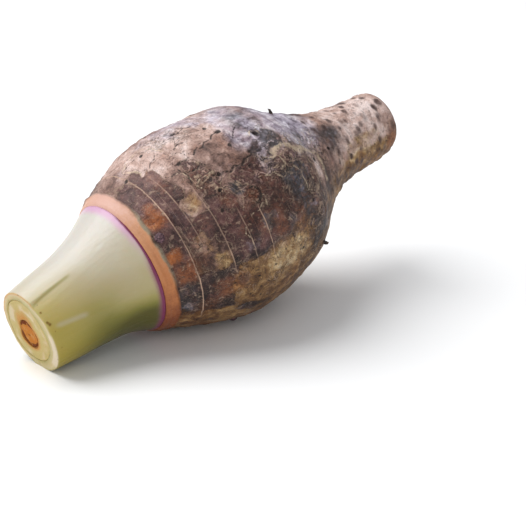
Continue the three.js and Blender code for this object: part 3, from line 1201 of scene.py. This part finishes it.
    def rings(self, spots: Spots) -> tuple[Field, Field, Field]:
        """The leaf scars.

        Args:
            spots: the straight body's vertices.

        Returns:
            Signed distance to the nearest scar, how clearly it shows, and its relief in mm.
        """
        broken = smooth(0.35, 0.6, Noise(Seed.RINGS).layered(spots.points, (9, 30, 9)))
        faint = 0.12 + 0.45 * smooth(85, 130, np.abs(turn_from(spots.degrees, 40)))
        nearest, shown = np.full(len(spots.along), 9.0), np.zeros(len(spots.along))
        ridge = np.zeros(len(spots.along))
        for ring in RINGS:
            offset = spots.along - ring.along
            middle, reach = (ring.first + ring.last) / 2, (ring.last - ring.first) / 2
            clear = 1 - smooth(reach - 4, reach + 8, np.abs(turn_from(spots.degrees, middle)))
            strength = (clear * (0.6 + 0.4 * broken) + (1 - clear) * faint * broken) * ring.clear
            close = np.abs(offset) < np.abs(nearest)
            nearest = np.where(close, offset, nearest)
            shown = np.where(close, strength, shown)
            shoulder = 0.35 * hump(offset, 1.6) + 0.65 * hump(offset, 0.6)
            ridge += ring.height * (0.25 + 0.5 * strength) * shoulder
        return nearest, shown, ridge

    def hollows(self, spots: Spots) -> tuple[Field, Field]:
        """Cracks and pits.

        Args:
            spots: the straight body's vertices.

        Returns:
            Distance of each vertex from the nearest, in mm, and how deep it is carved.
        """
        nearest, carved = np.full(len(spots.along), 4.0), np.zeros(len(spots.along))
        for crack in CRACKS:
            near = crack.distance(spots) / crack.width
            nearest = np.minimum(nearest, near * 0.7)
            carved = np.maximum(carved, crack.depth * hump(near, 1))
        for pit in PITS:
            offset = spots.along - pit.along
            reach = np.hypot(offset, turn_from(spots.degrees, pit.degrees) * FORM.degree_at(pit.along))
            carved += pit.depth * (1 - smooth(0.35, 1.0, reach / pit.radius))
            carved -= pit.rim * hump(reach / pit.radius - 1.15, 0.3)
            if pit.radius < 3:
                nearest = np.minimum(nearest, np.maximum(reach - pit.radius * 0.55, 0))
            else:
                worn = 0.5 * (1 - smooth(-1.0, 0.4, offset / pit.radius))
                nearest = np.minimum(nearest, np.maximum(np.abs(reach - pit.radius) - 0.3, 0) + 0.15 + worn)
        return nearest, carved

    def root_scars(self, spots: Spots) -> tuple[Field, Field]:
        """The rings of root scars on the stub.

        Args:
            spots: the straight body's vertices.

        Returns:
            How dark each vertex is, and how far it is raised, in mm.
        """
        dark, raised = np.zeros(len(spots.along)), np.zeros(len(spots.along))
        uneven = 0.45 + 1.1 * Noise(Seed.ROOT_SCARS).layered(spots.points, 3.2, 4)
        for warts in WARTS:
            for along, degrees, size in warts.places():
                across = turn_from(spots.degrees, degrees) * FORM.degree_at(along) / (1.5 * size)
                reach = np.hypot(across, (spots.along - along) / size) * uneven
                darkness = 0.7 + 0.3 * math.sin(7 * degrees + along)
                dark = np.maximum(dark, (1 - smooth(0.25, 1.3, reach)) * darkness)
                bump = warts.height * (1 - smooth(0.55, 1.2, reach)) - 0.35 * (1 - smooth(0, 0.6, reach))
                raised = np.where(np.abs(bump) > np.abs(raised), bump, raised)
        return dark, raised


# ---- buds and roots ----------------------------------------------------------


@dataclass(frozen=True)
class Growth:
    """A bud or a broken root on the skin, whose tip may lean."""

    name: str
    along: float
    degrees: float
    radius: float
    length: float
    lean: tuple[float, float, float] = (0.0, 0.0, 0.0)

    def frame_at(self, sink: float) -> tuple[Vector, Vector]:
        """Where it stands.

        Args:
            sink: how far its foot is under the skin, in mm.

        Returns:
            Its foot, and the way it points.
        """
        along = self.along + np.array([0.0, -1.0, 1.0, 0.0, 0.0])
        angle = math.radians(self.degrees) + np.array([0.0, 0.0, 0.0, 0.0, 0.02])
        reach = FORM.radius(along) - np.array([sink, 0.0, 0.0, 0.0, 0.0])
        foot, behind, ahead, here, beside = map(Vector, FORM.place(reach, along, angle))
        return foot, (beside - here).cross(ahead - behind).normalized()


BUDS = (
    Growth("bud_collar", 68.4, 51.5, 3.1, 2.7),
    Growth("bud_far_side", 69, -118, 3.0, 2.6),
    Growth("bud_belly", 101, 148, 2.6, 2.2),
)
ROOTS = (
    Growth("root_top", 176.5, 2, 1.0, 3.0, (-0.22, 0.19, 0.0)),
    Growth("root_belly", 158, 118, 1.0, 2.6, (0.2, 0.1, 0.0)),
    Growth("root_far_side", 119, -128, 1.0, 3.0, (-0.2, 0.0, 0.2)),
)


@dataclass(frozen=True)
class BudMaterial:
    """Dark, slightly glossy scales of a bud, or the bark of a root."""

    name: str = "taro_bud"
    dark: str = "3a222a"
    light: str = "86626a"

    def build(self) -> bpy.types.Material:
        """Wires the material up.

        Returns:
            The material.
        """
        graph = Graph(self.name)
        streak = graph.noise((1.4, 0.5, 1.4), 4)
        grain = graph.noise((4, 4, 4), 3)
        colour = graph.mix(streak.smooth(-0.1, 0.2), paint(self.dark), paint(self.light))
        return graph.finish(colour, 0.55 + grain * 0.2, streak + grain, 0.3)


@dataclass
class Growths:
    """The corm's buds and the stubs of its roots."""

    facets: int = 28
    sink: float = 0.3  # how far a growth's foot is under the skin
    bud_depth: float = 2.2  # how far its body goes on below its foot
    root_depth: float = 2.0
    scales_depth: float = 0.8  # how far below the bud's foot its scales begin
    unevenness: float = 0.22
    bend: float = 1.7  # power of the height by which a growth leans

    def bud(self, spot: Growth) -> Piece:
        """A bud: a squat dome of overlapping scales that closes to a point.

        Args:
            spot: where it is and its size.

        Returns:
            The bud.
        """
        rise = [0.0, 0.25, 0.45, 0.5, 0.68, 0.82, 0.86, 0.97, 1.06, 1.1]
        wide = [1.0, 1.02, 0.9, 0.84, 0.76, 0.6, 0.52, 0.36, 0.14, 0.0]
        scales = [(w * spot.radius, h * spot.length - self.scales_depth) for w, h in zip(wide, rise)]
        profile = [(0.0, -self.bud_depth), (spot.radius * 0.8, -self.bud_depth), *scales]
        return self.stand(profile, spot)

    def root(self, spot: Growth) -> Piece:
        """A broken root: a tapering, wrinkled stump with a hollow end.

        Args:
            spot: where it is and its size.

        Returns:
            The root.
        """
        radius, length = spot.radius, spot.length
        shares = np.linspace(0, 1, 9)
        wall = [(radius * (1.35 - 0.55 * t + 0.08 * math.sin(14 * t)), length * t) for t in shares]
        end = [(radius * 0.55, length + 0.1), (radius * 0.35, length - 0.5), (0.0, length - 0.6)]
        profile = [(0.0, -self.root_depth), (radius * 1.3, -self.root_depth), *wall, *end]
        return self.stand(profile, spot)

    def stand(self, profile: Outline, spot: Growth) -> Piece:
        """Turns a profile and stands it on the skin.

        Args:
            profile: (radius, height) points from its foot to its tip.
            spot: where it is.

        Returns:
            The piece.
        """
        name = "taro_" + spot.name
        piece = turned(name, profile, self.facets)
        points = read_points(piece)
        uneven = Noise(sum(map(ord, name))).swell(points, 0.9)
        shaped = points * (1 + self.unevenness * uneven)[:, None]
        foot, outward = spot.frame_at(self.sink)
        turn = outward.to_track_quat("Y", "Z").to_matrix()
        leaning = np.outer(np.maximum(points[:, 1], 0) ** self.bend, spot.lean)
        write_points(piece, (shaped @ np.array(turn).T + leaning) * MM + np.array(foot))
        record(piece, "growth", *points.T)
        return piece

    def build(self) -> None:
        """Builds them all."""
        scales = BudMaterial().build()
        bark = BudMaterial("taro_root_bark", "241814", "6a5244").build()
        for spot in BUDS:
            settle(self.bud(spot), None, scales)
        for spot in ROOTS:
            settle(self.root(spot), None, bark)


# ---- leaf bases --------------------------------------------------------------


@dataclass(frozen=True)
class Bore:
    """A nearly round bore of the stalk, off the axis at the leaf cut and on it at the crown."""

    at_cut: float
    at_crown: float
    shift: tuple[float, float]  # sideways and up, at the leaf cut
    uneven: float

    def radius(self, along: Field, angle: Field) -> Field:
        """Its radius, by distance from the leaf cut and angle, both for each vertex."""
        share = np.clip(along / CROWN, 0, 1) ** 1.6
        wave = np.sin(2 * angle + 0.7) + 0.6 * np.sin(3 * angle + 2.2) + 0.35 * np.sin(5 * angle)
        return self.at_cut + (self.at_crown - self.at_cut) * share + self.uneven * wave * (1 - share)


OUTER_BORE = Bore(17.8, 27.5, (-2.4, -0.4), 0.5)
INNER_BORE = Bore(8.0, 12.5, (-3.5, -2.8), 0.4)


@dataclass(frozen=True)
class Overlap:
    """The free edge of the outermost leaf base, which lies over the skin beside it."""

    degrees: float = 24.5
    depth: float = 1.0
    spread: float = 26.0
    fade: float = 30.0

    def step_down(self, along: Field, degrees: Field) -> Field:
        """How far the skin beside the edge is stepped down, in mm.

        Args:
            along: distances from the leaf cut.
            degrees: angles round from the upper side.

        Returns:
            The step at each vertex.
        """
        beside = degrees - self.degrees
        fade = 1 - smooth(0, self.fade, along)
        return self.depth * fade * smooth(-1, 4, beside) * np.exp(-np.maximum(beside, 0) / self.spread)


@dataclass(frozen=True)
class LeafMaterial:
    """Fresh stalk: pale cream above, olive below and painted darker underneath as shade, purple at the crown,
    and its wet cut face.
    """

    # from the upper side of the skin to the lower, and from the bore of the cut to the skin
    skin: Run = (
        (0.0, "c8c0b7"), (0.2, "c0b49c"), (0.42, "b5a57c"),
        (0.62, "a09456"), (0.82, "7c762e"), (1.0, "545018"),
    )
    flesh: Run = ((0.0, "a89a56"), (0.25, "bcaa72"), (0.7, "ccb98c"), (1.0, "b0a05c"))
    vein: str = "d2cc9c"
    purple: str = "7a2c50"
    blush: str = "d292bc"
    ripe: str = "b29e42"
    painted_glint: str = "c4bcb8"
    fold: str = "8c843a"
    peach: str = "cc9058"
    white: str = "dccab4"
    spot: str = "8e5c26"
    nick: str = "75581a"

    def build(self) -> bpy.types.Material:
        """Wires the material up.

        Returns:
            The material.
        """
        graph = Graph("taro_outer_leaf")
        green, crown, blush = graph.parts("tones")
        cut, depth, bruise = graph.parts("cuts")
        ripe, painted_glint, fold = graph.parts("stains_glint_and_shade")
        peach, white, _ = graph.parts("tinges")
        fibre = graph.noise((0.8, 0.03, 0.8), 4, 0.6)
        cloud = graph.noise((0.07, 0.05, 0.07), 3, 0.5)
        grain = graph.noise((1.8, 0.9, 1.8), 3, 0.6)
        pores = graph.cells(0.75)
        colour = graph.ramp(green + cloud * 0.16 + fibre * 0.05, self.skin)
        colour = colour.coated(fibre.smooth(0.06, 0.28) * 0.05, self.vein)
        colour = colour.coated(ripe * (0.65 + grain * 0.4), self.ripe)
        # the fold line: a darker olive, partly its own tint and partly painted shade under the step
        colour = colour.coated(fold * 0.6, self.fold)
        # painted glint: a pale streak that stands for a reflection of light along the stalk
        colour = colour.coated((painted_glint + grain * 0.3).smooth(0.0, 1.3) * 0.36, self.painted_glint)
        colour = colour.coated((blush + cloud * 0.4).smooth(0.1, 1.0) * 0.75, self.blush)
        colour = colour.coated((crown + grain * 0.25).smooth(0.1, 0.9), self.purple)
        face = graph.ramp(depth + cloud * 0.5, self.flesh)
        face = face.coated(peach * 0.5, self.peach).coated(white * 0.7, self.white)
        face = face.coated(pores.smooth(0.3, 0.12) * 0.2, self.spot)
        colour = colour.coated(cut, face).coated((bruise + grain * 0.5).smooth(0.2, 1.0), self.nick)
        rough = 0.36 + grain * 0.2 + fibre * 0.1 + cut * 0.1
        height = fibre * 0.15 + grain * 0.15 + cloud * 0.3 + pores * cut * 0.3
        fixed = {"Specular_IOR_Level": 0.35, "Subsurface_Weight": 0.1}
        return graph.finish(colour, rough, height, 0.3, Coat_Weight=0.07, Coat_Roughness=0.25, **fixed)


@dataclass(frozen=True)
class InnerMaterial:
    """Flesh of the inner leaf bases, browning towards the heart."""

    name: str = "taro_inner_leaf"
    flesh: Run = ((0.0, "c8b276"), (0.5, "d0b98a"), (1.0, "d9c6a2"))
    halo: str = "c88a44"
    green: str = "988c40"  # the pores
    burnt: str = "6a3206"

    def build(self) -> bpy.types.Material:
        """Wires the material up.

        Returns:
            The material.
        """
        graph = Graph(self.name)
        halo, burnt, ringed = graph.parts("tones")
        cloud = graph.noise((0.2, 0.2, 0.2), 3, 0.5)
        grain = graph.noise((1.9, 1.9, 1.9), 3, 0.6)
        pores = graph.cells(1.0)
        colour = graph.ramp(ringed + cloud * 0.7, self.flesh)
        colour = colour.coated((halo + cloud * 0.3).smooth(0.0, 1.0), self.halo)
        colour = colour.coated(pores.smooth(0.3, 0.1) * 0.35, self.green)
        colour = colour.coated((burnt + grain * 0.8).smooth(0.2, 0.8), self.burnt)
        height = grain * 0.7 + pores * 0.5
        fixed = {"Specular_IOR_Level": 0.05, "Subsurface_Weight": 0.1}
        return graph.finish(colour, 0.5 + grain * 0.25, height, 0.4, **fixed)


@dataclass(frozen=True)
class Wall:
    """What is known of a leaf base's vertices, apart from their places."""

    share: Field  # 0 at the bore, 1 at the outside
    along: Field
    degrees: Field
    cut: Field  # 1 on the cut face


@dataclass
class LeafBase:
    """One leaf base, from the leaf cut to the crown: a tube, or a plug where it has no inside."""

    slot: str
    outside: Bore | None  # none for the skin
    inside: Bore | None
    sides: int
    face_rows: int
    wall_rows: int = 14
    cut_at: float = 0.0
    overlap: Overlap | None = None

    # The straight piece is turned as a tube of this bore and wall, and then its walls are moved into place.
    HOLLOW = 10.0
    WALL = 10.0
    RIM = 1.0  # length of the rounded rim, which is not stretched

    def hollow(self) -> float:
        """Radius of the straight piece's bore."""
        return self.HOLLOW if self.inside else 0.0

    def outer_radius(self, along: Field, angle: Field) -> Field:
        """Radius of its outside, by distance from the leaf cut and angle."""
        return self.outside.radius(along, angle) - SEAM if self.outside else FORM.radius(along)

    def inner_radius(self, along: Field, angle: Field) -> Field | float:
        """Radius of its inside, by distance from the leaf cut and angle."""
        return self.inside.radius(along, angle) if self.inside else 0.0

    def loop(self) -> Outline:
        """The straight piece's outline, a rectangle with a rounded rim.

        Returns:
            (radius, along) points.
        """
        bore = self.hollow()
        face = [(bore + self.WALL * share, 0.0) for share in np.linspace(0, 0.93, self.face_rows)]
        rim = [(bore + self.WALL * 0.965, 0.12), (bore + self.WALL * 0.99, 0.42)]
        wall = [(bore + self.WALL, at) for at in np.linspace(self.RIM, CROWN, self.wall_rows)]
        foot = [(bore + self.WALL * share, CROWN) for share in np.linspace(0.9, 0, 8)]
        back = [(bore, at) for at in np.linspace(CROWN - 5, 0, 14)] if self.inside else []
        return [*face, *rim, *wall, *foot, *back]

    def build(self) -> tuple[Piece, Wall]:
        """Models the leaf base.

        Returns:
            The piece, and what is known of its vertices.
        """
        piece = turned(f"taro_{self.slot}_base", self.loop(), self.sides)
        spots = Spots.on(piece)
        angle = spots.angle
        share = np.clip((spots.out - self.hollow()) / self.WALL, 0, 1)

        def across(inner: Field | float, outer: Field | float) -> Field:
            """From the bore's value to the outside's, through the wall."""
            return inner + (outer - inner) * share

        end = np.full(len(share), CROWN)
        foot = FORM.dome_at(across(self.inner_radius(end, angle), self.outer_radius(end, angle))) - GAP
        rim = (spots.along < self.RIM) * spots.along
        along = self.cut_at + rim + (foot - self.cut_at) * (spots.along - rim) / CROWN
        out = across(self.inner_radius(along, angle), self.outer_radius(along, angle))
        if self.overlap is not None:
            out = out - share * self.overlap.step_down(along, spots.degrees)
        fade = 1 - np.clip(along / CROWN, 0, 1)
        outer_shift = self.outside.shift if self.outside else (0.0, 0.0)
        inner_shift = self.inside.shift if self.inside else outer_shift
        side, up = (across(inner, outer) * fade for inner, outer in zip(inner_shift, outer_shift))
        x, z = out * np.sin(angle) + side, out * np.cos(angle) + up
        straight = np.stack([x, along, z], axis=1)
        cut = 1 - smooth(0.0, 0.6, spots.along)
        waves = 0.5 * Noise(Seed.CUT).swell(straight, 3) * (share < 0.97)
        along = along + cut * (waves + 0.25 * (1 - share))
        fibres = 0.22 * Noise(Seed.FIBRES).swell(straight, (1.6, 40, 1.6), 2) * (share > 0.99)
        reach = np.hypot(x, z) + (1 - cut) * fibres
        write_points(piece, FORM.place(reach, along, np.arctan2(x, z)))
        record(piece, "growth", x, along, z)
        return piece, Wall(share, along, spots.degrees, cut)


@dataclass
class Stalk:
    """The cut-off leaf bases, wrapped one inside the other."""

    # Brown nicks in the skin by the cut: distance along, angle and radius of each.
    nicks: tuple[tuple[float, float, float], ...] = (
        (2.6, 31, 0.45), (1.5, 42, 0.8), (1.4, 57, 0.8), (2.0, 61, 1.0), (2.8, 72, 0.4), (3.1, 96, 0.5)
    )
    degree: float = 0.38  # length of a degree round the skin by the cut, in mm

    def outer(self) -> None:
        """Builds the outermost leaf base."""
        base = LeafBase("outer_leaf", None, OUTER_BORE, sides=288, face_rows=18, wall_rows=96)
        base.overlap = Overlap()
        piece, wall = base.build()
        along, degrees, share = wall.along, wall.degrees, wall.share
        lean = np.abs(degrees + 12) - 12

        # the skin: greener round the side and painted darker underneath as shade, purple and blushing by the
        # crown, and ripe by the cut
        pale = smooth(24, 50, along) * (1 - smooth(82, 110, lean))
        green = 0.92 * smooth(-14, 124, lean) * (1 - 0.36 * pale)
        # painted shade: the underside darkened towards the crown
        green += 0.16 * smooth(12, 60, along) * smooth(80, 130, lean)
        crown = smooth(58.1, 59.2, along) * (0.2 + 0.8 * smooth(5, 30, lean))
        crown += smooth(54.5, 59.5, along) * smooth(40, 80, lean) * 0.75
        blush = smooth(53, 59.3, along) * (0.42 + 0.58 * (1 - smooth(15, 60, np.abs(degrees))))
        ripe = (1 - smooth(1, 34, along)) * window(degrees, -20, 150, 20)
        ripe *= 0.35 + 0.65 * smooth(5, 45, degrees)

        # a painted glint and a fold line, partly painted shade, that run along it, nicks by the cut, and the
        # tints of the cut face
        painted_glint = window(along, 7, 19, 5) * hump(degrees - 70.5 - 0.45 * (along - 12), 3.8)
        fold = hump(degrees - 25.5 - 5 * np.exp(-along / 4), 2.2) * window(along, -1, 22, 4)
        blotch = Noise(Seed.RIM).layered(read_points(piece), 0.004)
        rim = wall.cut * smooth(0.84, 0.9, share) * smooth(0.58, 0.75, blotch)
        torn = sum(
            hump(np.hypot(along - at, (degrees - turn) * self.degree), radius)
            for at, turn, radius in self.nicks
        )
        peach = smooth(0.55, 0.85, share) * window(degrees, -75, 22, 20)
        white = window(share, 0.45, 0.93, 0.12) * window(degrees, 80, 130, 10)
        record(piece, "tones", green, crown, blush)
        record(piece, "cuts", wall.cut, share, np.maximum(rim, torn * (1 - wall.cut)))
        record(piece, "stains_glint_and_shade", ripe, painted_glint, fold)
        record(piece, "tinges", peach, white)
        settle(piece, "outer_leaf_base", LeafMaterial().build())

    def inner(self) -> None:
        """Builds the leaf base inside it."""
        base = LeafBase("inner_leaf", OUTER_BORE, INNER_BORE, sides=160, face_rows=24, cut_at=0.2)
        piece, wall = base.build()
        points = read_points(piece)
        share = wall.share + 0.25 * Noise(Seed.WALL).swell(points, 0.006)
        reach = 0.22 + 0.3 * (1 - smooth(0, 75, np.abs(wall.degrees + 15)))
        halo = 0.85 * hump(np.maximum(share, 0), reach)
        burnt = (1 - smooth(0.0, 0.08, share)) * 0.55
        blotch = Noise(Seed.RINGED).layered(points, 0.009)
        ringed = window(share, 0.52, 0.80, 0.12) * smooth(0.36, 0.58, blotch)
        record(piece, "tones", halo, burnt, ringed)
        settle(piece, "inner_leaf_base", InnerMaterial().build())

    def heart(self) -> None:
        """Builds the rolled leaf at the heart."""
        base = LeafBase("heart_leaf", INNER_BORE, None, sides=96, face_rows=20, cut_at=0.6)
        piece, wall = base.build()
        points = read_points(piece)
        uneven = Noise(Seed.HEART).swell(points, 0.004)
        halo = 0.9 + 1.2 * Noise(Seed.HALO).swell(points, 0.003)
        burnt = smooth(0.72, 0.88, wall.share + 0.4 * uneven) * (0.9 + 1.4 * uneven)
        burnt += 0.5 * smooth(0.55, 0.8, Noise(Seed.BURNT).layered(points, (0.0016, 0.004, 0.0016)))
        record(piece, "tones", halo, burnt)
        heart = InnerMaterial(name="taro_heart_leaf", halo="c07424", burnt="703200")
        settle(piece, "heart_leaf_base", heart.build())

    def build(self) -> None:
        """Builds them all, from the outside in."""
        self.outer()
        self.inner()
        self.heart()


# ---- stage -------------------------------------------------------------------


LIT = Vector((0, 0, 0.05))  # where the lights are aimed


@dataclass(frozen=True)
class Light:
    """A soft area light aimed at the taro, in metres and watts."""

    name: str
    place: tuple[float, float, float]
    size: float
    power: float

    def build(self) -> bpy.types.Object:
        """Hangs the light.

        Returns:
            The light.
        """
        data = bpy.data.lights.new(self.name, "AREA")
        data.shape = "DISK"
        data.size = self.size
        data.energy = self.power
        lamp = bpy.data.objects.new(self.name, data)
        bpy.context.scene.collection.objects.link(lamp)
        lamp.location = self.place
        lamp.rotation_euler = (LIT - lamp.location).to_track_quat("-Z", "Y").to_euler()
        return lamp


LIGHTS = (Light("key", (-0.7, 1.25, 2.3), 2.6, 78), Light("fill", (-0.9, -0.9, 0.7), 1.0, 3))


@dataclass(frozen=True)
class Studio:
    """A pale floor, a white surround, soft lights and the camera."""

    azimuth: float = -41.283
    elevation: float = 21.959
    aim_right: float = 25.714
    aim_up: float = -23.894
    aim_height: float = 55.0
    distance: float = 813.95
    focal: float = 1500.0  # in pixels, like the width of the render
    render_width: float = 526.0
    sensor: float = 36.0
    clip: tuple[float, float] = (0.01, 50.0)
    floor_width: float = 12.0
    floor_colour: Colour = (0.94, 0.94, 0.94, 1)
    floor_roughness: float = 0.9
    sky: Colour = (0.95, 0.97, 1.0, 1)
    sky_strength: float = 0.46

    def camera(self) -> None:
        """Sets up the camera."""
        a, e = math.radians(self.azimuth), math.radians(self.elevation)
        ahead = Vector((-math.sin(a) * math.cos(e), math.cos(a) * math.cos(e), -math.sin(e)))
        right = Vector((math.cos(a), math.sin(a), 0))
        above = right.cross(ahead)
        aim = right * self.aim_right + above * self.aim_up + Vector((0, 0, self.aim_height))
        data = bpy.data.cameras.new("camera")
        data.sensor_width = self.sensor
        data.lens = self.focal * self.sensor / self.render_width
        data.clip_start, data.clip_end = self.clip
        camera = bpy.data.objects.new("camera", data)
        bpy.context.scene.collection.objects.link(camera)
        camera.location = (aim - ahead * self.distance) * MM
        camera.rotation_euler = ahead.to_track_quat("-Z", "Y").to_euler()
        bpy.context.scene.camera = camera

    def floor(self) -> None:
        """Lays the floor."""
        bpy.ops.object.select_all(action="DESELECT")
        bpy.ops.mesh.primitive_plane_add(size=self.floor_width, location=(0, 0, 0))
        plane = bpy.context.object
        plane.name = "floor"
        material = bpy.data.materials.new("floor")
        material.use_nodes = True
        shader = material.node_tree.nodes["Principled BSDF"]
        shader.inputs["Base Color"].default_value = self.floor_colour
        shader.inputs["Roughness"].default_value = self.floor_roughness
        plane.data.materials.append(material)

    def surround(self) -> None:
        """Sets a plain white world round it, and a plain rendering of its colours."""
        scene = bpy.context.scene
        world = bpy.data.worlds.new("world")
        world.use_nodes = True
        background = world.node_tree.nodes["Background"]
        background.inputs["Color"].default_value = self.sky
        background.inputs["Strength"].default_value = self.sky_strength
        scene.world = world
        scene.view_settings.view_transform = "Standard"

    def build(self) -> None:
        """Sets the stage."""
        self.camera()
        self.floor()
        self.surround()
        for light in LIGHTS:
            light.build()


def main() -> None:
    """Builds the taro and its stage."""
    skin = SkinMaterial().build()
    corm = Corm().build()
    settle(corm, "corm", skin)
    Growths().build()
    Stalk().build()
    Studio().build()


if __name__ == "__main__":
    main()
